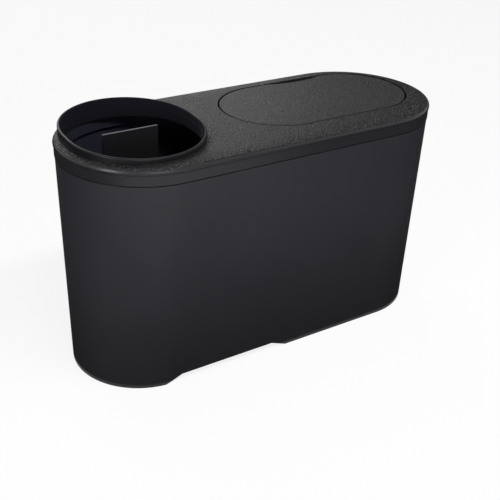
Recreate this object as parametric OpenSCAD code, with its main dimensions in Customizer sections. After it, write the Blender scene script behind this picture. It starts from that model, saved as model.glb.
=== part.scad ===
// Car trash bin: a slim tapered bucket with round ends, a lift-off lid with an open mouth
// in a drop-in collar, and a sprung flap that is pressed in to open.
// The origin is on the ground, midway along and across the lid. X runs along the bin from the
// mouth to the flap, Y runs from the front to the back, and Z is up.

/* [Lid] */
// Length over the lid
bin_length = 230; // [222:1:250]
// Width over the lid
bin_width = 95; // [93:1:105]
// Height of the flat lid top above the ground
lid_top = 133; // [110:1:180]
// Thickness of the flat top of the lid
lid_wall = 2; // [1.6:0.1:2.6]
// Height of the lid's outer edge, from its top down to the seam
skirt_height = 9; // [7:0.5:14]
// Thickness of the lid's outer edge
skirt_wall = 1.8; // [1.6:0.1:2.2]
// Height of the groove that marks the seam round the lid's foot
seam_groove = 0.7; // [0.4:0.1:1]
// Depth of that groove
groove_depth = 1; // [0.5:0.1:1]
// Radius of the rounded top edge of the lid
edge_radius = 2; // [1.5:0.1:2.5]
// How far the rounded edge stands out past the skirt
edge_proud = 0.3; // [0.1:0.1:0.5]

/* [Bucket] */
// Wall thickness of the bucket
bucket_wall = 1.8; // [1.4:0.1:2.4]
// How far each long side draws in from the seam down to the ground
side_draft = 6.5; // [2:0.5:9]
// How far each round end draws in from the seam down to the ground
end_draft = 1; // [0:0.5:2]
// How far the bucket wall lies inside the lid at the seam
seam_step = 0.6; // [0.5:0.1:1]
// Thickness of the neck that stands up inside the lid
neck_wall = 1.6; // [1.2:0.1:2]
// Thickness of the bucket floor
floor_wall = 2; // [1.6:0.1:3]
// Height of the floor's underside above the ground
floor_rise = 5.4; // [5:0.1:7]
// Thickness of the foot rim that the bucket stands on
foot_wall = 3; // [2.6:0.1:4]
// Length at the ground of the relief in the foot rim's long sides
relief_length = 80; // [50:1:90]
// Height of the relief
relief_height = 4.2; // [2:0.1:4.4]
// Length over which each end of the relief slopes up
relief_slope = 10; // [6:1:14]
// Place of the middle of the relief along the bin
relief_x = -38; // [-42:1:-20]

/* [Divider] */
// Distance from the ends of the mouth to the upright divider in the bucket
divider_inset = 21.5; // [18:0.5:28]
// Thickness of the divider at its top edge
divider_wall = 1.4; // [1:0.1:2]
// Thickness of the divider at the floor
divider_foot = 2.6; // [2:0.1:4]
// Distance of the divider behind the middle of the mouth
divider_back = 3; // [0:0.5:8]
// Height of the divider's top edge above the lid top
divider_above = 1.4; // [-10:0.2:2.5]

/* [Mouth collar] */
// Distance from the front of the lid to the mouth collar
mouth_front = 9.8; // [8:0.1:12]
// Distance from the collar to the back of the lid
mouth_back = 4; // [4:0.1:8]
// Distance from the lid's left end to the collar
mouth_end = 4.6; // [4.6:0.1:7]
// Length of the mouth as a share of its width
mouth_share = 0.92; // [0.88:0.01:0.96]
// Height of the highest point of the collar above the lid top
collar_rise = 7; // [6:0.5:12]
// Angle at which the collar's rim slopes down towards the flap
rim_slope = 0.9; // [0:0.1:1.5]
// Angle at which the rim rises towards the back
rim_rise = 2.1; // [0:0.1:2.5]
// Wall thickness of the collar
collar_wall = 1.6; // [1.4:0.1:2]
// Thickness of the spigot that drops into the lid
spigot_wall = 1.2; // [1:0.1:1.6]
// Depth of the spigot below the lid top
spigot_depth = 4; // [3.5:0.1:4.5]
// Width of the collar's seat on the lid
collar_seat = 1.1; // [1:0.1:1.4]

/* [Flap] */
// Distance from the mouth to the flap opening
mouth_gap = 21.2; // [18:0.1:26]
// Distance from the opening to the lid's right end
opening_end = 8; // [7:0.1:12]
// Distance from the front of the lid to the opening
opening_front = 20; // [18:0.5:23]
// Distance from the opening to the back of the lid
opening_back = 7.5; // [7:0.1:10]
// Gap round the flap
flap_gap = 1; // [0.7:0.1:1.2]
// Thickness of the flap
flap_wall = 2; // [1.6:0.1:2.4]
// Length of the finger notch in the flap's back edge
notch_length = 42; // [30:1:48]
// Depth of the finger notch
notch_depth = 3.5; // [2:0.1:4]
// Distance of the notch to the right of the flap's middle
notch_shift = 8; // [4:0.5:10]
// Distance of the stiffening rib from the edge of the flap
rib_inset = 9; // [9:0.5:14]
// Depth of the stiffening rib
rib_depth = 3.5; // [2:0.5:6]
// Thickness of the stiffening rib
rib_wall = 1.5; // [1.2:0.1:2]

/* [Hinge] */
// Diameter of the hinge rod
rod_diameter = 2.5; // [2:0.1:2.8]
// How far the rod reaches past both ends of the opening's straight front edge
rod_beyond = 2; // [1:0.5:3]
// Distance of the rod's axis behind the front edge of the opening
rod_back = 3; // [2.8:0.1:4]
// Distance of the rod's axis below the lid top
rod_below = 4.8; // [4.7:0.1:6]
// Outer diameter of the ears and knuckles on the rod
barrel_diameter = 5.2; // [4.8:0.1:5.2]
// Width of each ear under the lid, as a share of the rod's length
ear_share = 0.06; // [0.05:0.005:0.08]
// Width of each knuckle under the flap, as a share of the rod's length
knuckle_share = 0.12; // [0.08:0.01:0.14]
// Distance from the opening to the front end of the ears
ear_reach = 8; // [5:0.5:9]
// Width of each stop tab under the back of the flap
tab_width = 5; // [4:0.5:6]
// How far the stop tabs reach under the lid
tab_reach = 1.5; // [1.2:0.1:2]
// Thickness of the stop tabs
tab_wall = 1.6; // [1.2:0.1:2.4]

/* [Springs] */
// Thickness of the spring wire
wire_diameter = 0.6; // [0.4:0.05:0.7]
// Number of turns of each torsion spring
spring_turns = 5; // [3:1:7]
// Distance from one turn to the next
spring_pitch = 0.75; // [0.75:0.05:1]
// Length of the spring leg under the flap
flap_leg = 6; // [4:0.5:6.5]
// Length of the spring leg under the lid
lid_leg = 8; // [6:0.5:10]

/* [Clearances] */
// Radial clearance of the rod in the ears
ear_clearance = 0.03; // [0.02:0.01:0.06]
// Radial clearance of the knuckles on the rod
knuckle_clearance = 0.06; // [0.03:0.01:0.1]
// Clearance between the neck and the lid
neck_clearance = 0.35; // [0.25:0.05:0.5]
// Clearance between the spigot and the lid
spigot_clearance = 0.3; // [0.2:0.05:0.5]
// Clearance between parts that pass or face each other in the hinge
hinge_clearance = 0.4; // [0.3:0.05:0.6]
// Clearance between the stop tabs and the lid
tab_clearance = 0.3; // [0.2:0.05:0.5]

/* [Hidden] */
$fn = 96;
WIRE_SIDES = 6;
STEPS_PER_TURN = 20;
OVERLAP = 0.5;
BEYOND = 1;

PLASTIC = [0.13, 0.13, 0.14];
GRAINED = [0.17, 0.17, 0.18];
STEEL = [0.7, 0.7, 0.72];

lid_r = bin_width / 2;
end_x = bin_length / 2 - lid_r;
skirt_r = lid_r - edge_proud;
seam_z = lid_top - skirt_height;
under_lid = lid_top - lid_wall;

rim_r = lid_r - seam_step;
foot_r = rim_r - side_draft;
end_lean = side_draft - end_draft;
neck_r = skirt_r - skirt_wall - neck_clearance;
neck_top = lid_top - spigot_depth - neck_clearance;
floor_top = floor_rise + floor_wall;

mouth_width = bin_width - mouth_front - mouth_back;
mouth_length = mouth_width * mouth_share;
mouth_x = mouth_end + mouth_length / 2 - bin_length / 2;
mouth_y = (mouth_front - mouth_back) / 2;
mouth_turn = mouth_length > mouth_width ? 0 : 90;
mouth_r = min(mouth_length, mouth_width) / 2;
mouth_half = max(abs(mouth_width - mouth_length) / 2, 0.1);
rim_middle = collar_rise - mouth_half * sin(rim_rise)
    - (mouth_r - collar_wall / 2) * norm([sin(rim_slope), sin(rim_rise)]);
spigot_outside = collar_seat + spigot_clearance;
spigot_inside = spigot_outside + spigot_wall;
ledge_height = 1.2;

opening_left = mouth_x + mouth_length / 2 + mouth_gap;
opening_right = bin_length / 2 - opening_end;
opening_x = (opening_left + opening_right) / 2;
opening_y = (opening_front - opening_back) / 2;
opening_r = (bin_width - opening_front - opening_back) / 2;
opening_half = (opening_right - opening_left) / 2 - opening_r;
notch_r = (notch_length * notch_length / 4 + notch_depth * notch_depth) / (2 * notch_depth);
flap_r = opening_r - flap_gap;
under_flap = lid_top - flap_wall;
flap_edge = 0.5;

rod_length = 2 * (opening_half + rod_beyond);
ear_width = rod_length * ear_share;
knuckle_width = rod_length * knuckle_share;
rod_y = opening_y - opening_r + rod_back;
rod_z = lid_top - rod_below;
barrel_r = barrel_diameter / 2;
ear_x = rod_length / 2 - ear_width;
knuckle_x = ear_x - hinge_clearance - knuckle_width;
spring_x = knuckle_x - hinge_clearance - wire_diameter;
ear_top = under_flap - hinge_clearance;
ear_front = opening_y - opening_r - ear_reach;
tab_x = opening_half - 2;
tab_top = under_lid - tab_clearance;
tab_back = opening_y + opening_r + tab_reach;
coil_r = rod_diameter / 2 + wire_diameter / 2 + 0.35;

// Runs a section round a plan with two straight sides and two round ends.
// In the section, x is the distance from the plan's middle line and y is the height.
module round_ended(half) {
    for (turn = [0, 180]) {
        rotate([0, 0, turn]) {
            translate([half, 0, 0])
                rotate([0, 0, -90])
                    rotate_extrude(angle = 180)
                        children();
            translate([-half, 0, 0])
                rotate([90, 0, 90])
                    linear_extrude(2 * half)
                        children();
        }
    }
}

// The flat area with two straight sides and two round ends
module round_ended_area(half, r) {
    square([2 * half, 2 * r], center = true);
    for (side = [-1, 1])
        translate([side * half, 0])
            circle(r);
}

// A solid with this plan whose long sides and round ends draw in by different amounts. The
// half length and the radius are given at its lower and at its upper height.
module drafted_body(low, high) {
    for (turn = [0, 180])
        rotate([0, 0, turn])
            multmatrix([
                [1, 0, (high[0] - low[0]) / (high[2] - low[2]), low[0]],
                [0, 1, 0, 0],
                [0, 0, 1, low[2]],
                [0, 0, 0, 1]
            ])
                cylinder(r1 = low[1], r2 = high[1], h = high[2] - low[2]);
    intersection() {
        rotate([90, 0, 90])
            linear_extrude(2 * bin_length, center = true)
                polygon([
                    [-low[1], low[2]],
                    [low[1], low[2]],
                    [high[1], high[2]],
                    [-high[1], high[2]]
                ]);
        rotate([90, 0, 0])
            linear_extrude(2 * bin_width, center = true)
                polygon([
                    [-low[0], low[2]],
                    [low[0], low[2]],
                    [high[0], high[2]],
                    [-high[0], high[2]]
                ]);
    }
}

// Half length, radius and height of the bucket's outside, drawn in by the inset
function bucket_at(z, inset) = [
    end_x + end_lean * (1 - z / seam_z),
    foot_r + side_draft * z / seam_z - inset,
    z
];

module bucket() {
    color(PLASTIC) {
        difference() {
            union() {
                drafted_body(bucket_at(0, 0), bucket_at(seam_z, 0));
                translate([0, 0, seam_z])
                    linear_extrude(neck_top - seam_z)
                        round_ended_area(end_x, neck_r);
            }
            drafted_body(
                bucket_at(floor_top, bucket_wall),
                bucket_at(seam_z - bucket_wall, bucket_wall)
            );
            translate([0, 0, seam_z - 2 * bucket_wall])
                linear_extrude(skirt_height + 2 * bucket_wall)
                    round_ended_area(end_x, neck_r - neck_wall);
            drafted_body(bucket_at(-BEYOND, foot_wall), bucket_at(floor_rise, foot_wall));
            foot_relief();
        }
        divider();
    }
}

// The shallow relief that is cut through both long sides of the foot rim
module foot_relief() {
    translate([relief_x, 0, 0])
        rotate([90, 0, 0])
            linear_extrude(2 * bin_width, center = true)
                polygon([
                    [-relief_length / 2, 0],
                    [-relief_length / 2, -BEYOND],
                    [relief_length / 2, -BEYOND],
                    [relief_length / 2, 0],
                    [relief_length / 2 - relief_slope, relief_height],
                    [relief_slope - relief_length / 2, relief_height]
                ]);
}

// The upright divider, moulded with the bucket and thinning towards its top edge
module divider() {
    translate([mouth_x - mouth_length / 2 + divider_inset, mouth_y + divider_back, 0])
        rotate([90, 0, 90])
            linear_extrude(mouth_length - 2 * divider_inset)
                polygon([
                    [-divider_foot / 2, floor_top - OVERLAP],
                    [divider_foot / 2, floor_top - OVERLAP],
                    [divider_wall / 2, lid_top + divider_above],
                    [-divider_wall / 2, lid_top + divider_above]
                ]);
}

// Flat top, rounded edge and skirt of the lid in one section
module lid_section() {
    translate([0, under_lid])
        square([lid_r - edge_radius, lid_wall]);
    intersection() {
        translate([lid_r - edge_radius, lid_top - edge_radius])
            circle(edge_radius);
        translate([skirt_r - skirt_wall, seam_z])
            square([2 * skirt_wall, skirt_height]);
    }
    translate([skirt_r - skirt_wall, seam_z + seam_groove])
        square([skirt_wall, skirt_height - edge_radius - seam_groove]);
    translate([skirt_r - skirt_wall, seam_z])
        square([skirt_wall - groove_depth, skirt_height - edge_radius]);
}

// An ear under the lid that carries the hinge rod
module ear() {
    rotate([90, 0, 90])
        linear_extrude(ear_width) {
            translate([rod_y, rod_z])
                circle(barrel_r);
            translate([ear_front, rod_z - barrel_r])
                square([rod_y - ear_front, ear_top - rod_z + barrel_r]);
            translate([ear_front, rod_z - barrel_r])
                square([ear_reach - hinge_clearance, under_lid + OVERLAP - rod_z + barrel_r]);
        }
}

// A round bar along the hinge axis
module hinge_bar(r, length) {
    translate([opening_x - length / 2, rod_y, rod_z])
        rotate([0, 90, 0])
            cylinder(r = r, h = length);
}

module lid() {
    color(GRAINED)
        difference() {
            union() {
                difference() {
                    round_ended(end_x)
                        lid_section();
                    translate([0, 0, under_lid - BEYOND])
                        linear_extrude(lid_wall + 2 * BEYOND) {
                            translate([opening_x, opening_y])
                                round_ended_area(opening_half, opening_r);
                            translate([mouth_x, mouth_y])
                                rotate([0, 0, mouth_turn])
                                    round_ended_area(mouth_half, mouth_r - collar_seat);
                        }
                }
                for (x = [-ear_x - ear_width, -ear_width / 2, ear_x])
                    translate([opening_x + x, 0, 0])
                        ear();
            }
            hinge_bar(rod_diameter / 2 + ear_clearance, rod_length + 2 * BEYOND);
        }
}

// Raised wall of the collar with its rounded rim, from the rim down
module collar_section() {
    translate([mouth_r - collar_wall, -2 * collar_rise])
        square([collar_wall, 2 * collar_rise - collar_wall / 2]);
    translate([mouth_r - collar_wall / 2, -collar_wall / 2])
        circle(collar_wall / 2);
}

// Inner ledge and spigot of the collar
module spigot_section() {
    translate([mouth_r - spigot_inside, lid_top])
        square([spigot_inside - collar_wall / 2, ledge_height]);
    translate([mouth_r - spigot_inside, lid_top - spigot_depth])
        square([spigot_wall, spigot_depth + OVERLAP]);
}

module mouth_collar() {
    color(PLASTIC)
        translate([mouth_x, mouth_y, 0]) {
            difference() {
                translate([0, 0, lid_top + rim_middle])
                    rotate([rim_rise, rim_slope, mouth_turn])
                        round_ended(mouth_half)
                            collar_section();
                translate([-mouth_length, -mouth_width, lid_top - mouth_length])
                    cube([2 * mouth_length, 2 * mouth_width, mouth_length]);
            }
            rotate([0, 0, mouth_turn])
                round_ended(mouth_half)
                    spigot_section();
        }
}

// Flat plate of the flap with its softened top edge
module flap_section() {
    translate([0, under_flap])
        square([flap_r, flap_wall - flap_edge]);
    translate([0, under_flap])
        square([flap_r - flap_edge, flap_wall]);
    translate([flap_r - flap_edge, lid_top - flap_edge])
        circle(flap_edge);
}

// Stiffening rib under the flap
module rib_section() {
    translate([flap_r - rib_inset - rib_wall, under_flap - rib_depth])
        square([rib_wall, rib_depth + OVERLAP]);
}

// The shallow hollow in the flap's back edge, for a fingertip
module finger_notch() {
    translate([
        opening_x + notch_shift,
        opening_y + flap_r - notch_depth + notch_r,
        under_flap - BEYOND
    ])
        cylinder(r = notch_r, h = flap_wall + 2 * BEYOND);
}

// A knuckle under the flap that turns on the hinge rod
module knuckle() {
    rotate([90, 0, 90])
        linear_extrude(knuckle_width) {
            translate([rod_y, rod_z])
                circle(barrel_r);
            translate([rod_y - barrel_r * 0.7, rod_z])
                square([barrel_r * 1.4, under_flap + OVERLAP - rod_z]);
        }
}

// A stop tab that reaches under the lid and keeps the flap from rising past it
module stop_tab() {
    rotate([90, 0, 90])
        linear_extrude(tab_width) {
            translate([opening_y + flap_r - rib_inset, tab_top - tab_wall])
                square([tab_back - opening_y - flap_r + rib_inset, tab_wall]);
            translate([opening_y + flap_r - rib_inset, tab_top - tab_wall])
                square([rib_inset / 2, under_flap + OVERLAP - tab_top + tab_wall]);
        }
}

module flap() {
    color(GRAINED)
        difference() {
            union() {
                difference() {
                    translate([opening_x, opening_y, 0])
                        round_ended(opening_half) {
                            flap_section();
                            rib_section();
                        }
                    finger_notch();
                }
                for (x = [-knuckle_x - knuckle_width, knuckle_x])
                    translate([opening_x + x, 0, 0])
                        knuckle();
                for (x = [-tab_x - tab_width / 2, tab_x - tab_width / 2])
                    translate([opening_x + x, 0, 0])
                        stop_tab();
            }
            hinge_bar(rod_diameter / 2 + knuckle_clearance, rod_length);
        }
}

module flap_rod() {
    color(STEEL)
        hinge_bar(rod_diameter / 2, rod_length);
}

// Points along the spring wire: the flap leg, the coil and the lid leg, as [x, y, z] from the
// rod's axis. Both legs lean up to the pieces that they push on.
function leg_tip(y, gap) = [y, under_lid - rod_z - wire_diameter / 2 - gap];
function spring_route() = concat(
    [concat([0], leg_tip(flap_leg, 0.1))],
    [for (i = [0 : spring_turns * STEPS_PER_TURN])
        let (a = 90 + 360 * i / STEPS_PER_TURN)
            [i * spring_pitch / STEPS_PER_TURN, coil_r * cos(a), coil_r * sin(a)]],
    [concat([spring_turns * spring_pitch], leg_tip(-lid_leg, 0.1))]
);

// Direction of the route at a point, seen along the rod
function route_way(p, i) =
    let (d = p[min(i + 1, len(p) - 1)] - p[max(i - 1, 0)], f = [d[1], d[2]])
        f / norm(f);

// The wire as one closed skin of rings round its route
module spring_wire() {
    p = spring_route();
    r = wire_diameter / 2;
    n = WIRE_SIDES;
    points = [
        for (i = [0 : len(p) - 1], k = [0 : n - 1])
            let (w = route_way(p, i), a = 360 * k / n)
                p[i] + r * [cos(a), -w[1] * sin(a), w[0] * sin(a)]
    ];
    sides = [
        for (i = [0 : len(p) - 2], k = [0 : n - 1])
            let (a = i * n + k, b = i * n + (k + 1) % n)
                [a, a + n, b + n, b]
    ];
    first = [for (k = [0 : n - 1]) k];
    last = [for (k = [n - 1 : -1 : 0]) (len(p) - 1) * n + k];
    polyhedron(points = points, faces = concat([first], sides, [last]));
}

module spring_left() {
    color(STEEL)
        translate([opening_x - spring_x, rod_y, rod_z])
            spring_wire();
}

module spring_right() {
    color(STEEL)
        translate([opening_x + spring_x, rod_y, rod_z])
            mirror([1, 0, 0])
                spring_wire();
}

bucket();
lid();
mouth_collar();
flap();
flap_rod();
spring_left();
spring_right();
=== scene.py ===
# %% [markdown]
# # A car trash bin in satin black plastic
#
# This notebook dresses the bin that the construction model gives us. The solids already have
# the right shapes and sizes, so most of Blender's work is the camera, the light and the black
# plastics with their leather grain. Two kinds of piece are modelled anew: the collar round the
# mouth, so that its rim slopes the right way, and the small wire springs, so that they are
# round and smooth.
#
# The first cell loads the imported model. Every solid arrives as its own object, sitting at the
# origin with its place in its mesh.

# %% Load the bin
import math

import bpy
from mathutils import Matrix, Vector


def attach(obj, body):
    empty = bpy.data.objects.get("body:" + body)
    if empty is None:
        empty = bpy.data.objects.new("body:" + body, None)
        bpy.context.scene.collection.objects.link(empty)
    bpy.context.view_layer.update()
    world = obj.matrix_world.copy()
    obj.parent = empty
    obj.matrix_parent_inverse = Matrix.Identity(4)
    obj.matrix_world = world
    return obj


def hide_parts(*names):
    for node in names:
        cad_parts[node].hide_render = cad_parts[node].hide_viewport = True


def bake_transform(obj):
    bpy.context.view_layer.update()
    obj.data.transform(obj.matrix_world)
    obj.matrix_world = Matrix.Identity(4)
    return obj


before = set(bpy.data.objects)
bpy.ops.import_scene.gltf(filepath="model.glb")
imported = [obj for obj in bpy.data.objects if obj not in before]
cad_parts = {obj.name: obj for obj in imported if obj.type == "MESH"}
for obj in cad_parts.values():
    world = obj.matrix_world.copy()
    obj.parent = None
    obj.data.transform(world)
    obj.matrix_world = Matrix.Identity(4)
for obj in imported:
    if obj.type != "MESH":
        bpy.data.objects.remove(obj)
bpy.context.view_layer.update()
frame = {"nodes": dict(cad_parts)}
nodes = frame["nodes"]
scene = bpy.context.scene
scene.view_settings.view_transform = "Standard"
print("solids:", ", ".join(nodes))

# %% [markdown]
# ## The camera
#
# The picture looks down on the bin from its front left. Where the camera stands can be found
# by hand, by turning it until the drawn outline lies over the picture's. Here it was worked
# out instead, by fitting an ideal camera to points measured along the rim, the seam and the
# foot. Three things matter: the place, the direction and the focal length. A long lens, as for
# a product picture, keeps the upright edges nearly parallel.

# %% Place the camera
IMAGE_SIZE = 500
SENSOR = 36.0
FOCAL_PIXELS = 866.75
NEAREST_SEEN = 0.01

azimuth, elevation, roll = math.radians(-33.235), math.radians(29.120), math.radians(2.095)
aim = Vector((0.047008, 0.070499, -0.001776))
distance = 0.624762

# The way back from the aim to the camera, and the picture's own right and up
back = Vector((
    math.sin(azimuth) * math.cos(elevation),
    -math.cos(azimuth) * math.cos(elevation),
    math.sin(elevation),
))
level_right = (-back).cross(Vector((0, 0, 1))).normalized()
level_up = level_right.cross(-back)
right = math.cos(roll) * level_right + math.sin(roll) * level_up
up = math.cos(roll) * level_up - math.sin(roll) * level_right

camera_data = bpy.data.cameras.new("camera")
camera_data.sensor_width = SENSOR
camera_data.lens = FOCAL_PIXELS / IMAGE_SIZE * SENSOR
camera_data.clip_start = NEAREST_SEEN
camera = bpy.data.objects.new("camera", camera_data)
scene.collection.objects.link(camera)
turn = Matrix((right, up, back)).transposed().to_4x4()
camera.matrix_world = Matrix.Translation(aim + distance * back) @ turn
scene.camera = camera
print("lens", round(camera_data.lens, 1), "mm at", [round(v, 3) for v in camera.location], "m")

# %% [markdown]
# ## Nodes without clicking
#
# In the Shader Editor a material is a drawing of boxes and wires. In code, each box is one
# call and each wire another, which soon gets long. A few small helpers keep the materials
# below readable. The first three add a node, join an output to an input and start a material.
# The others are the steps that every finish of this bin is made of: a sum, a range, a noise,
# a blend of two colours, a bump, and a colour and a roughness that follow one pattern.

# %% Add nodes and wires
def add_node(tree, kind, **settings):
    """Adds a shader node. A setting is a property of the node, or else an input socket."""
    node = tree.nodes.new(kind)
    for name, value in settings.items():
        if hasattr(node, name):
            setattr(node, name, value)
        else:
            node.inputs[name.replace("_", " ")].default_value = value
    return node


def wire(tree, start, end):
    """Joins an output to an input."""
    tree.links.new(start, end)


def new_material(name):
    """Starts a material and returns it with its node tree, its shader and its coordinates."""
    material = bpy.data.materials.new(name)
    material.use_nodes = True
    tree = material.node_tree
    shader = tree.nodes["Principled BSDF"]
    place = add_node(tree, "ShaderNodeTexCoord")
    return material, tree, shader, place.outputs["Object"]


print("helpers: add_node, wire, new_material")

# %% Steps of a finish
def do_sum(tree, kind, *values):
    """One Math node on outputs or numbers. Returns its output."""
    node = add_node(tree, "ShaderNodeMath", operation=kind)
    for socket, value in zip(node.inputs, values):
        if isinstance(value, (int, float)):
            socket.default_value = value
        else:
            wire(tree, value, socket)
    return node.outputs[0]


def spread(tree, value, **limits):
    """Carries a value from one range to another. Both are 0 to 1 unless limits differ."""
    node = add_node(tree, "ShaderNodeMapRange", **limits)
    wire(tree, value, node.inputs["Value"])
    return node.outputs[0]


def noise(tree, place, scale, detail):
    """A soft random pattern. Returns its outputs, Fac and Color."""
    node = add_node(tree, "ShaderNodeTexNoise", Scale=scale, Detail=detail)
    wire(tree, place, node.inputs["Vector"])
    return node.outputs


def tone(colour, share):
    """A darker or lighter tone of a colour, as three numbers."""
    return tuple(share * part for part in colour)


def blend_colours(tree, factor, first, second):
    """Goes from the first colour to the second. Each is an output or three numbers."""
    node = add_node(tree, "ShaderNodeMix", data_type="RGBA")
    wire(tree, factor, node.inputs["Factor"])
    for name, colour in (("A", first), ("B", second)):
        if isinstance(colour, tuple):
            node.inputs[name].default_value = (*colour, 1)
        else:
            wire(tree, colour, node.inputs[name])
    return node.outputs["Result"]


def bumped(tree, height, strength, distance, under=None):
    """Makes a surface look uneven by a height, on top of the bump given as under, if any."""
    node = add_node(tree, "ShaderNodeBump", Strength=strength, Distance=distance)
    wire(tree, height, node.inputs["Height"])
    if under:
        wire(tree, under, node.inputs["Normal"])
    return node.outputs[0]


def varied(tree, pattern, colour, tones, roughness, steps):
    """A colour and a roughness that follow a pattern, from its low to its high places."""
    tint = blend_colours(tree, pattern, tone(colour, tones[0]), tone(colour, tones[1]))
    dull = spread(tree, pattern, To_Min=roughness + steps[0], To_Max=roughness + steps[1])
    return tint, dull


print("helpers: do_sum, spread, noise, tone, blend_colours, bumped, varied")

# %% [markdown]
# ## A pale studio
#
# The picture has a pure white background and soft light. More light on a grey backdrop would
# make it white too, but would also burn out the bin. So the world and the floor show white to
# the camera and in reflections, by way of the Light Path node, while the light that they give
# to the bin stays plain. The backdrop is white, and the floor still takes the bin's shadow.

# %% The world
SKY_LIGHT, SEEN_WHITE = 0.26, 1.0


def seen_rays(tree):
    """Gives 1 for rays that look at a thing straight, in a mirror or through glass."""
    path = add_node(tree, "ShaderNodeLightPath").outputs
    seen = do_sum(tree, "MAXIMUM", path["Is Camera Ray"], path["Is Glossy Ray"])
    return do_sum(tree, "MAXIMUM", seen, path["Is Transmission Ray"])


def blend_shaders(tree, factor, first, second):
    """Goes from the first shader to the second."""
    node = add_node(tree, "ShaderNodeMixShader")
    for output, socket in zip((factor, first, second), node.inputs):
        wire(tree, output, socket)
    return node.outputs[0]


world = bpy.data.worlds.new("studio")
scene.world = world
world.use_nodes = True
sky = world.node_tree
sky.nodes.clear()
soft = add_node(sky, "ShaderNodeBackground", Color=(1, 1, 1, 1), Strength=SKY_LIGHT)
white = add_node(sky, "ShaderNodeBackground", Color=(1, 1, 1, 1), Strength=SEEN_WHITE)
either = blend_shaders(sky, seen_rays(sky), soft.outputs[0], white.outputs[0])
wire(sky, either, add_node(sky, "ShaderNodeOutputWorld").inputs[0])
print("world: white where it is seen, and", SKY_LIGHT, "of that where it lights")

# %% The floor
FLOOR_SIZE, FLOOR_DROP = 12, 0.0002
FLOOR_GREY, FLOOR_ROUGHNESS, FLOOR_SEEN = 0.82, 0.9, 0.84


def shineless(name, grey, roughness):
    """A plain grey material without any gloss, for the things of the studio."""
    material, tree, shader, _ = new_material(name)
    shader.inputs["Base Color"].default_value = (grey, grey, grey, 1)
    shader.inputs["Roughness"].default_value = roughness
    shader.inputs["Specular IOR Level"].default_value = 0.0
    return material, tree, shader


bpy.ops.object.select_all(action="DESELECT")
bpy.ops.mesh.primitive_plane_add(size=FLOOR_SIZE, location=(0, 0, -FLOOR_DROP))
floor = bpy.context.object
floor.name = "floor"
floor_material, tree, shader = shineless("pale_floor", FLOOR_GREY, FLOOR_ROUGHNESS)
glow = add_node(tree, "ShaderNodeEmission", Strength=SEEN_WHITE)
share = do_sum(tree, "MULTIPLY", seen_rays(tree), FLOOR_SEEN)
both = blend_shaders(tree, share, shader.outputs[0], glow.outputs[0])
wire(tree, both, tree.nodes["Material Output"].inputs[0])
floor.data.materials.append(floor_material)
print("floor:", FLOOR_SIZE, "m across, white to the camera")

# %% [markdown]
# ## Lamps and black cards
#
# Satin black plastic shows its shape almost only by its reflections. A big soft lamp behind the
# bin gives the lid its grey sheen, because the camera sees the top at a shallow angle. One low
# on the left and one low in front draw the long soft gradient on the bucket. A narrow strip
# above the front draws the bright line on the lid's rounded edge. Area lamps are used, since
# their size decides how soft a reflection looks: a point lamp would give a hard spot.
#
# A black product on a white ground would mirror that ground along its outline and get pale
# edges. Product photographers put black cards just outside the picture for that reason. Here
# the cards are planes that only reflections can see: two on the floor, one upright behind the
# right end, and two overhead.

# %% Softboxes
BIN_MIDDLE = Vector((0.0, 0.0, 0.07))
# Each lamp's place, its width and height in metres, and its power in watts
LAMPS = {
    "back_box": ((0.05, 1.45, 0.95), (1.2, 0.6), 6),
    "left_box": ((-1.5, -0.55, 0.35), (0.5, 0.6), 10),
    "front_box": ((-0.35, -1.7, 0.40), (0.8, 0.4), 5),
    "strip": ((0.08, -0.54, 1.0), (1.05, 0.10), 11),
}


def softbox(name, place, size, power):
    """Hangs a rectangular lamp that faces the middle of the bin."""
    data = bpy.data.lights.new(name, "AREA")
    data.shape = "RECTANGLE"
    data.size, data.size_y = size
    data.energy = power
    lamp = bpy.data.objects.new(name, data)
    scene.collection.objects.link(lamp)
    lamp.location = place
    lamp.rotation_euler = (BIN_MIDDLE - Vector(place)).to_track_quat("-Z", "Y").to_euler()
    lamp.visible_camera = False


for name, (place, size, power) in LAMPS.items():
    softbox(name, place, size, power)
print("softboxes:", ", ".join(LAMPS))

# %% Black cards
CARD_GREY, CARD_ROUGHNESS = 0.02, 1.0
FLAT, UPRIGHT = (0, 0, 0), (math.pi / 2, 0, math.radians(-52))
# Each card's middle, how it is turned, and its length and width in metres
CARDS = {
    "card_below": ((0.0, 0.88, 0.002), FLAT, (3.2, 2.12)),
    "card_front": ((0.62, -0.55, 0.002), FLAT, (0.95, 0.74)),
    "card_behind": ((0.66, 0.50, 0.32), UPRIGHT, (0.46, 0.64)),
    "card_above": ((0.45, 0.20, 0.90), FLAT, (1.3, 1.4)),
    "card_over_front": ((-0.1, -0.9, 1.10), FLAT, (2.0, 1.4)),
}
UNSEEN_BY = ("camera", "diffuse", "transmission", "volume_scatter", "shadow")


def black_card(name, middle, turned, size):
    """Puts up a card beside the bin, seen by reflections only."""
    bpy.ops.object.select_all(action="DESELECT")
    bpy.ops.mesh.primitive_plane_add(size=1, location=middle, rotation=turned)
    card = bpy.context.object
    card.name = name
    card.scale = (*size, 1)
    bpy.ops.object.transform_apply(location=True, rotation=True, scale=True)
    card.data.materials.append(card_material)
    for kind in UNSEEN_BY:
        setattr(card, "visible_" + kind, False)


card_material, _, _ = shineless("black_card", CARD_GREY, CARD_ROUGHNESS)
for name, (place, turned, size) in CARDS.items():
    black_card(name, place, turned, size)
print("black cards:", ", ".join(CARDS))
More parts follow.
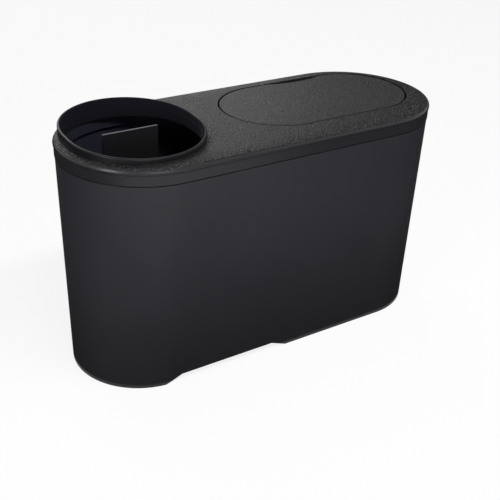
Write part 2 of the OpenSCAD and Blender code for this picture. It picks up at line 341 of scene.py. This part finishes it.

# %% [markdown]
# ## Moulded plastics
#
# The bucket and the collar are smooth satin mouldings. Their surface isn't a mirror: the
# steel mould leaves a very fine unevenness, so the roughness varies a little and a faint,
# fine bump breaks up the reflections. A picture of plastic could be laid on instead, but a
# noise in Object coordinates needs no unwrapping and stays sharp from close by.
#
# Inside, such a moulding is matt and hardly any light gets in. The material makes it duller
# there, and paints that shade into its colour, darker than outside. Both sides belong to one
# solid, and one material can tell them apart by place: a point is inside when it lies nearer to
# the plan's middle line than the wall does.

# %% Which points lie inside
SEAM_Z = 0.1240


def axes_of(tree, place):
    """The X, Y and Z of a place, as three outputs."""
    split = add_node(tree, "ShaderNodeSeparateXYZ")
    wire(tree, place, split.inputs[0])
    return split.outputs["X"], split.outputs["Y"], split.outputs["Z"]


def reach_from_middle(tree, place, half, along="X", middle=(0, 0)):
    """Distance from the middle line of a plan with two straight sides and two round ends.

    half is half the length of the middle line, which runs along X or Y through middle.
    """
    x, y, _ = axes_of(tree, place)
    x = do_sum(tree, "SUBTRACT", x, middle[0])
    y = do_sum(tree, "SUBTRACT", y, middle[1])
    if along == "Y":
        x, y = y, x
    past_end = do_sum(tree, "SUBTRACT", do_sum(tree, "ABSOLUTE", x), half)
    past_end = do_sum(tree, "MAXIMUM", past_end, 0.0)
    squares = [do_sum(tree, "MULTIPLY", part, part) for part in (past_end, y)]
    return do_sum(tree, "SQRT", do_sum(tree, "ADD", *squares))


def inside_of(tree, place, half, shrink, radius, slope, neck_step, top, along="X", middle=(0, 0)):
    """1 inside a wall with such a plan, 0 on its outside.

    half and radius are those of the wall's middle at the ground. With the height, half gets
    less by shrink and radius more by slope. From the seam up, the wall steps in by
    neck_step. Nothing above top counts as inside.
    """
    _, _, z = axes_of(tree, place)
    half = do_sum(tree, "MULTIPLY_ADD", z, -shrink, half)
    reach = reach_from_middle(tree, place, half, along, middle)
    wall = do_sum(tree, "MULTIPLY_ADD", z, slope, radius)
    in_neck = do_sum(tree, "GREATER_THAN", z, SEAM_Z)
    wall = do_sum(tree, "SUBTRACT", wall, do_sum(tree, "MULTIPLY", in_neck, neck_step))
    within = do_sum(tree, "LESS_THAN", reach, wall)
    below = do_sum(tree, "LESS_THAN", z, top)
    return do_sum(tree, "MULTIPLY", within, below)


print("a helper that tells a moulding's inside from its outside")

# %% Smooth black plastic
PATCH_SCALE, PATCH_TONES, PATCH_STEPS = 22, (0.88, 1.12), (-0.04, 0.05)
MOULD_SCALE, MOULD_STRENGTH, MOULD_DEPTH = 1500, 0.12, 0.0001
# Painted shade near the ground: how high it reaches, and how dark the colour gets at the foot
FOOT_SHADE_TOP, FOOT_SHADE_TONE = 0.085, 0.6
# Painted shade on the upright plate in the bucket: where it stands, half its thickness and how
# dark it is painted
PLATE_Y, PLATE_HALF, PLATE_SHADE_TONE = 0.0059, 0.0016, 0.1
INSIDE_ROUGHNESS = 0.9


def black_plastic(name, colour, inside_shade_colour, roughness, gloss, inside):
    """Satin moulded plastic, dull on its inside. Its colour carries painted shade: inside, on the
    bucket's plate and towards the ground.
    """
    material, tree, shader, place = new_material(name)
    shader.inputs["Specular IOR Level"].default_value = gloss
    _, y, z = axes_of(tree, place)
    hidden = inside_of(tree, place, **inside)
    # Broad, soft patches where the moulding is a little duller
    patches = noise(tree, place, PATCH_SCALE, detail=3)["Fac"]
    tint, dull = varied(tree, patches, colour, PATCH_TONES, roughness, PATCH_STEPS)
    matt = do_sum(tree, "MAXIMUM", dull, do_sum(tree, "MULTIPLY", hidden, INSIDE_ROUGHNESS))
    wire(tree, matt, shader.inputs["Roughness"])
    # Painted shade: a little darker towards the ground, as the shade that falls near the floor
    foot_shade_fade = spread(tree, z, From_Max=FOOT_SHADE_TOP, interpolation_type="SMOOTHSTEP")
    outer = blend_colours(tree, foot_shade_fade, tone(colour, FOOT_SHADE_TONE), tint)
    # Painted shade: the upright plate in the bucket is painted darker than the wall behind it, as
    # if no light reached its face
    off_plate = do_sum(tree, "ABSOLUTE", do_sum(tree, "SUBTRACT", y, PLATE_Y))
    on_plate = do_sum(tree, "LESS_THAN", off_plate, PLATE_HALF)
    shaded_inside = blend_colours(tree, on_plate, inside_shade_colour, tone(inside_shade_colour, PLATE_SHADE_TONE))
    # Painted shade: inside, the colour is darker than outside, as where little light gets in
    wire(tree, blend_colours(tree, hidden, outer, shaded_inside), shader.inputs["Base Color"])
    # The fine texture of the mould
    fine = noise(tree, place, MOULD_SCALE, detail=2)["Fac"]
    surface = bumped(tree, fine, strength=MOULD_STRENGTH, distance=MOULD_DEPTH)
    wire(tree, surface, shader.inputs["Normal"])
    return material


print("a finish for smooth mouldings")

# %% Plastic of the bucket and the collar
bucket_inside = {
    "half": 0.0730, "shrink": 0.0444, "radius": 0.0395, "slope": 0.0524, "neck_step": 0.0019,
    "top": 0.1342,
}
collar_inside = {
    "half": 0.0032, "shrink": 0.0, "radius": 0.0364, "slope": 0.0, "neck_step": 0.0,
    "top": 0.1500, "along": "Y", "middle": (-0.0731, 0.0029),
}
# The inside colours below are painted shade, darker than the outside ones
bucket_plastic = black_plastic(
    "bucket_satin", colour=(0.0185, 0.0181, 0.0218), inside_shade_colour=(0.010, 0.010, 0.020),
    roughness=0.42, gloss=0.25, inside=bucket_inside,
)
collar_plastic = black_plastic(
    "collar_satin", colour=(0.0045, 0.0045, 0.0058), inside_shade_colour=(0.0008, 0.0008, 0.0040),
    roughness=0.34, gloss=0.20, inside=collar_inside,
)
print("smooth plastics:", bucket_plastic.name, collar_plastic.name)

# %% [markdown]
# ## Leather grain
#
# The lid's top and the flap carry a fine leather grain, and the lid's outer edge is smooth. An
# image of leather would repeat itself, so a Voronoi texture gives the pebbles, and its distance
# to the cell edges is the valley between them. The grain must stop at the edge of the flat top,
# so it is faded out by height: Object coordinates are the part's own, in metres, so the top
# lies at one known Z.
#
# On the real lid the top falls softly towards its edge, while the solid is flat up to a small
# rounding. A second bump under the grain leans that border outwards, more and more towards the
# edge, so that it catches the light as the real one does.

# %% The soft shoulder of the lid
LID_TOP = 0.133
LID_RADIUS, LID_STRAIGHT_HALF = 0.0475, 0.0675
SHOULDER, SHOULDER_SLOPE = 0.010, 0.36


def soft_shoulder(tree, place):
    """Leans the lid's border outwards. Its slope grows from nothing to SHOULDER_SLOPE."""
    reach = reach_from_middle(tree, place, LID_STRAIGHT_HALF)
    to_edge = do_sum(tree, "SUBTRACT", LID_RADIUS, reach)
    into = do_sum(tree, "MAXIMUM", do_sum(tree, "SUBTRACT", SHOULDER, to_edge), 0.0)
    square = do_sum(tree, "POWER", into, 2.0)
    fall = do_sum(tree, "MULTIPLY", square, -SHOULDER_SLOPE / (2 * SHOULDER))
    return bumped(tree, fall, strength=1, distance=1)


print("a shoulder", round(SHOULDER * 1000), "mm wide")

# %% Grained black plastic
PEBBLE_SCALE, PEBBLE_CREST, GRAIN_DEPTH = 720, 0.35, 0.0006
BEND_SCALE, BEND = 420, 0.0009
GRAIN_TONES, GRAIN_STEPS = (0.6, 1.15), (0.1, -0.04)
GRAIN_STARTS, GRAIN_FULL = LID_TOP - 0.0005, LID_TOP - 0.0002
GRAIN_ROUGHNESS, GRAIN_GLOSS = 0.33, 0.32
EDGE_COLOUR, EDGE_ROUGHNESS = (0.0130, 0.0128, 0.0152), 0.28


def pebbles(tree, place):
    """The height of the slightly bent pebbles, 0 in the valleys and 1 on the crests."""
    bent = add_node(tree, "ShaderNodeVectorMath", operation="MULTIPLY_ADD")
    wire(tree, noise(tree, place, BEND_SCALE, detail=2)["Color"], bent.inputs[0])
    bent.inputs[1].default_value = (BEND, BEND, BEND)
    wire(tree, place, bent.inputs[2])
    cells = add_node(
        tree, "ShaderNodeTexVoronoi", feature="DISTANCE_TO_EDGE", Scale=PEBBLE_SCALE
    )
    wire(tree, bent.outputs[0], cells.inputs["Vector"])
    from_edge = cells.outputs["Distance"]
    return spread(tree, from_edge, From_Max=PEBBLE_CREST, interpolation_type="SMOOTHSTEP")


def grained_plastic(name, colour):
    """Leather grain on the flat top, smooth below it on the rounded edge and the skirt."""
    material, tree, shader, place = new_material(name)
    shader.inputs["Specular IOR Level"].default_value = GRAIN_GLOSS
    _, _, z = axes_of(tree, place)
    on_top = spread(tree, z, From_Min=GRAIN_STARTS, From_Max=GRAIN_FULL)
    grain = do_sum(tree, "MULTIPLY", pebbles(tree, place), on_top)
    shoulder = soft_shoulder(tree, place)
    surface = bumped(tree, grain, strength=1, distance=GRAIN_DEPTH, under=shoulder)
    wire(tree, surface, shader.inputs["Normal"])
    # Valleys are darker and duller than the crests
    tint, dull = varied(tree, grain, colour, GRAIN_TONES, GRAIN_ROUGHNESS, GRAIN_STEPS)
    wire(tree, blend_colours(tree, on_top, EDGE_COLOUR, tint), shader.inputs["Base Color"])
    extra = do_sum(tree, "SUBTRACT", dull, EDGE_ROUGHNESS)
    matt = do_sum(tree, "MULTIPLY_ADD", extra, on_top, EDGE_ROUGHNESS)
    wire(tree, matt, shader.inputs["Roughness"])
    return material


# Painted shade: the lid's grain is the flap's plastic painted about three times darker, for the
# lid's darker front band and right end
lid_shaded_plastic = grained_plastic("lid_grain_shaded", (0.0055, 0.0051, 0.0054))
flap_plastic = grained_plastic("flap_grain", (0.0165, 0.0148, 0.0150))
print("grained plastics:", lid_shaded_plastic.name, flap_plastic.name)

# %% [markdown]
# ## Drawn steel
#
# The hinge rod and the springs are drawn wire. A plain metal would do for something so small,
# but drawing leaves fine lines along the wire. A noise stretched along the rod's X axis gives
# them, in the roughness, in the colour and as a slight bump.

# %% Drawn steel
LINES_ALONG, LINES_ACROSS = 60, 2600
LINE_TONES, LINE_STEPS = (0.85, 1.1), (-0.06, 0.1)
LINE_STRENGTH, LINE_DEPTH = 0.1, 0.0001


def drawn_steel(name, colour, roughness):
    """Bright steel with fine lines along X."""
    material, tree, shader, place = new_material(name)
    shader.inputs["Metallic"].default_value = 1.0
    along = add_node(
        tree, "ShaderNodeMapping", Scale=(LINES_ALONG, LINES_ACROSS, LINES_ACROSS)
    )
    wire(tree, place, along.inputs["Vector"])
    lines = noise(tree, along.outputs[0], scale=1, detail=2)["Fac"]
    tint, dull = varied(tree, lines, colour, LINE_TONES, roughness, LINE_STEPS)
    wire(tree, tint, shader.inputs["Base Color"])
    wire(tree, dull, shader.inputs["Roughness"])
    surface = bumped(tree, lines, strength=LINE_STRENGTH, distance=LINE_DEPTH)
    wire(tree, surface, shader.inputs["Normal"])
    return material


rod_steel = drawn_steel("drawn_rod", (0.5, 0.5, 0.52), roughness=0.3)
spring_steel = drawn_steel("spring_wire", (0.45, 0.45, 0.47), roughness=0.28)
print("steels:", rod_steel.name, spring_steel.name)

# %% Finish the solids
finishes = {
    "bucket": bucket_plastic,
    "mouth_collar": collar_plastic,
    "lid": lid_shaded_plastic,
    "flap": flap_plastic,
    "flap_rod": rod_steel,
}
for name, material in finishes.items():
    mesh = nodes[name].data
    mesh.materials.clear()
    mesh.materials.append(material)
print("finished solids:", ", ".join(finishes))

# %% [markdown]
# ## The mouth collar
#
# The collar is a thin wall with a rolled rim that drops into the lid. Seen from above it is
# nearly round, with two short straight sides, and its rim slopes: it is highest at the back
# left. It could be cut out of a cylinder, but its section is the same all round, so only that
# section is drawn, as a small face: a plane whose top corners are bevelled to a full round,
# cut by two bisects and extruded into the ledge and the spigot. The outline is then spun round
# one end, drawn along the straight side, spun round the other end and drawn back to its start,
# where the seam is merged. Tilting the rim comes last.

# %% Start with the wall
# The mouth's middle, half the length of its straight sides and the radius of its round ends
MOUTH_X, MOUTH_Y, MOUTH_HALF, MOUTH_R = -0.073048, 0.0029, 0.003248, 0.037352
COLLAR_WALL = 0.0016
RIM_TOP = 0.00469
OUTSIDE = MOUTH_X + MOUTH_R


def in_mm(vector):
    """Measures in millimetres, to print."""
    return [round(v * 1000, 2) for v in vector]


bpy.ops.object.select_all(action="DESELECT")
bpy.ops.mesh.primitive_plane_add(size=1, rotation=(math.pi / 2, 0, 0))
collar = bpy.context.object
collar.name = "rolled_collar"
collar.scale = (COLLAR_WALL, RIM_TOP, 1)
collar.location = (OUTSIDE - COLLAR_WALL / 2, MOUTH_Y + MOUTH_HALF, LID_TOP + RIM_TOP / 2)
bpy.ops.object.transform_apply(location=True, rotation=True, scale=True)
print("wall: thickness and height above the lid", in_mm((COLLAR_WALL, RIM_TOP)), "mm")

# %% Select by place
CLOSE = 1e-5


def near(a, b):
    """Whether two measures are the same, but for rounding."""
    return abs(a - b) < CLOSE


def pick(mode, test):
    """In edit mode, selects the points or edges all of whose points pass a test."""
    bpy.ops.mesh.select_mode(type=mode)
    bpy.ops.mesh.select_all(action="DESELECT")
    bpy.ops.object.mode_set(mode="OBJECT")
    mesh = bpy.context.object.data
    count = 0
    for part in {"VERT": mesh.vertices, "EDGE": mesh.edges}[mode]:
        points = [part.index] if mode == "VERT" else part.vertices
        part.select = all(test(mesh.vertices[i].co) for i in points)
        count += part.select
    bpy.ops.object.mode_set(mode="EDIT")
    return count


def close_up(gap):
    """Merges the points that lie together and turns all faces outwards."""
    bpy.ops.mesh.select_all(action="SELECT")
    bpy.ops.mesh.remove_doubles(threshold=gap)
    bpy.ops.mesh.normals_make_consistent(inside=False)


print("helpers: near, pick, close_up")

# %% Shape the section
# SPIGOT_IN and SPIGOT_OUT say how far the spigot's faces lie within the collar's outside
LEDGE, SPIGOT_IN, SPIGOT_OUT, SPIGOT_DEPTH = 0.0012, 0.0026, 0.0014, 0.004
ROUND_STEPS = 6
# The two rounded corners stop this far from the wall's middle, so that they don't cross
CORNER_GAP = 1e-6

ledge_z, spigot_x = LID_TOP + LEDGE, OUTSIDE - SPIGOT_OUT
bpy.ops.object.mode_set(mode="EDIT")
pick("VERT", lambda v: v.z > ledge_z)
bpy.ops.mesh.bevel(offset=COLLAR_WALL / 2 - CORNER_GAP, affect="VERTICES", segments=ROUND_STEPS)
for point, normal in (((0, 0, ledge_z), (0, 0, 1)), ((spigot_x, 0, 0), (1, 0, 0))):
    bpy.ops.mesh.select_all(action="SELECT")
    bpy.ops.mesh.bisect(plane_co=point, plane_no=normal)
# Below the ledge the wall gets thicker inwards
pick("EDGE", lambda v: near(v.x, OUTSIDE - COLLAR_WALL) and v.z < ledge_z + CLOSE)
bpy.ops.mesh.extrude_region_move(
    TRANSFORM_OT_translate={"value": (COLLAR_WALL - SPIGOT_IN, 0, 0)}
)
# From the inner part of its foot the spigot goes down into the lid
pick("EDGE", lambda v: near(v.z, LID_TOP) and v.x < spigot_x + CLOSE)
bpy.ops.mesh.extrude_region_move(TRANSFORM_OT_translate={"value": (0, 0, -SPIGOT_DEPTH)})
print("ledge's height and spigot's depth", in_mm((LEDGE, SPIGOT_DEPTH)), "mm")

# %% Keep only its outline
bpy.ops.mesh.select_all(action="SELECT")
bpy.ops.mesh.remove_doubles(threshold=2 * CORNER_GAP)
bpy.ops.mesh.select_mode(type="FACE")
bpy.ops.mesh.select_all(action="SELECT")
bpy.ops.mesh.dissolve_faces()
bpy.ops.mesh.select_all(action="SELECT")
bpy.ops.mesh.delete(type="ONLY_FACE")
bpy.ops.object.mode_set(mode="OBJECT")
print("collar section:", len(collar.data.vertices), "points,", len(collar.data.edges), "edges")

# %% Spin it round both ends
END_STEPS = 40
COLLAR_MERGE = 5e-6

bpy.ops.object.mode_set(mode="EDIT")
end_y = (MOUTH_Y + MOUTH_HALF, MOUTH_Y - MOUTH_HALF)
for y, next_y, side in ((*end_y, 1), (*end_y[::-1], -1)):
    pick("VERT", lambda v: near(v.y, y) and side * (v.x - MOUTH_X) > 0)
    bpy.ops.mesh.spin(
        steps=END_STEPS, angle=-math.pi, center=(MOUTH_X, y, 0), axis=(0, 0, 1)
    )
    picked = pick("VERT", lambda v: near(v.y, y) and side * (v.x - MOUTH_X) < 0)
    bpy.ops.mesh.extrude_region_move(TRANSFORM_OT_translate={"value": (0, next_y - y, 0)})
    print("end spun,", picked, "points drawn along the side")
close_up(COLLAR_MERGE)

# %% Tilt the rim
RIM_RISE, RIM_SLOPE = math.radians(3.1), math.radians(0.9)
COLLAR_SHARP = math.radians(40)

pivot = (MOUTH_X, MOUTH_Y, LID_TOP + RIM_TOP - COLLAR_WALL / 2)
pick("VERT", lambda v: v.z > LID_TOP + (LEDGE + RIM_TOP) / 2)
bpy.ops.transform.rotate(value=-RIM_RISE, orient_axis="X", center_override=pivot)
bpy.ops.transform.rotate(value=-RIM_SLOPE, orient_axis="Y", center_override=pivot)
bpy.ops.object.mode_set(mode="OBJECT")
bpy.ops.object.shade_smooth_by_angle(angle=COLLAR_SHARP)
print("the rim's highest point:", in_mm(max(collar.data.vertices, key=lambda v: v.co.z).co))

# %% Put it in the lid
collar.data.materials.append(collar_plastic)
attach(collar, "collar")
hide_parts("mouth_collar")

# %% [markdown]
# ## The torsion springs
#
# Two small springs on the hinge rod close the flap. Each is a coil of thin wire with a straight
# leg at both ends: one presses up under the flap, the other under the lid. A curve with a round
# bevel would make such a wire too, but here the Screw modifier shows how a coil is wound: a
# circle of the wire's size goes round the rod and moves on by one pitch each turn. The end
# rings are then extruded to make the legs.

# %% Wind one spring
WIRE_R, WIRE_SIDES = 0.0003, 12
COIL_R, COIL_STEPS = 0.0019, 28
TURNS, PITCH = 5, 0.00075

bpy.ops.object.select_all(action="DESELECT")
bpy.ops.mesh.primitive_circle_add(
    vertices=WIRE_SIDES, radius=WIRE_R, rotation=(math.pi / 2, 0, 0), location=(0, 0, COIL_R)
)
spring = bpy.context.object
spring.name = "spring_left_wire"
bpy.ops.object.transform_apply(location=True, rotation=True)
winding = spring.modifiers.new("winding", "SCREW")
winding.axis = "X"
winding.angle = 2 * math.pi
winding.screw_offset = PITCH
winding.iterations = TURNS
winding.steps = winding.render_steps = COIL_STEPS
bpy.ops.object.modifier_apply(modifier="winding")
print("coil:", len(spring.data.vertices), "points,", in_mm(spring.dimensions), "mm")

# %% Draw out its two legs
FLAP_LEG, LID_LEG, LEG_LIFT = 0.006, 0.008, 0.0005
# A turn of the coil leans a little, so its end ring reaches somewhat past the wire's radius
RING_REACH = 1.2 * WIRE_R
SPRING_MERGE = 1e-6
SPRING_SHARP = math.radians(60)

bpy.ops.object.mode_set(mode="EDIT")
for x, reach in ((0, FLAP_LEG), (TURNS * PITCH, -LID_LEG)):
    ring = pick("VERT", lambda v: abs(v.x - x) < RING_REACH and near(v.y, 0) and v.z > 0)
    print("end ring at", x, "has", ring, "points")
    bpy.ops.mesh.extrude_region_move(TRANSFORM_OT_translate={"value": (0, reach, LEG_LIFT)})
    bpy.ops.mesh.edge_face_add()
close_up(SPRING_MERGE)
bpy.ops.object.mode_set(mode="OBJECT")
bpy.ops.object.shade_smooth_by_angle(angle=SPRING_SHARP)
print("spring with legs:", in_mm(spring.dimensions), "mm")

# %% The second spring is the mirror of the first
ROD_Y, ROD_Z = -0.0245, 0.1282
FLAP_X, SPRING_X = 0.046252, 0.017158

other = spring.copy()
other.data = spring.data.copy()
other.name = "spring_right_wire"
scene.collection.objects.link(other)
other.scale.x = -1
for piece, side, node in ((spring, -1, "spring_left"), (other, 1, "spring_right")):
    flap_end = FLAP_X + side * SPRING_X
    bpy.ops.object.select_all(action="DESELECT")
    piece.select_set(True)
    bpy.context.view_layer.objects.active = piece
    piece.location = (flap_end, ROD_Y, ROD_Z)
    bpy.ops.object.transform_apply(location=True, rotation=False, scale=True)
    bpy.ops.object.mode_set(mode="EDIT")
    close_up(SPRING_MERGE)
    bpy.ops.object.mode_set(mode="OBJECT")
    piece.data.materials.append(spring_steel)
    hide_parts(node)
    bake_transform(piece)
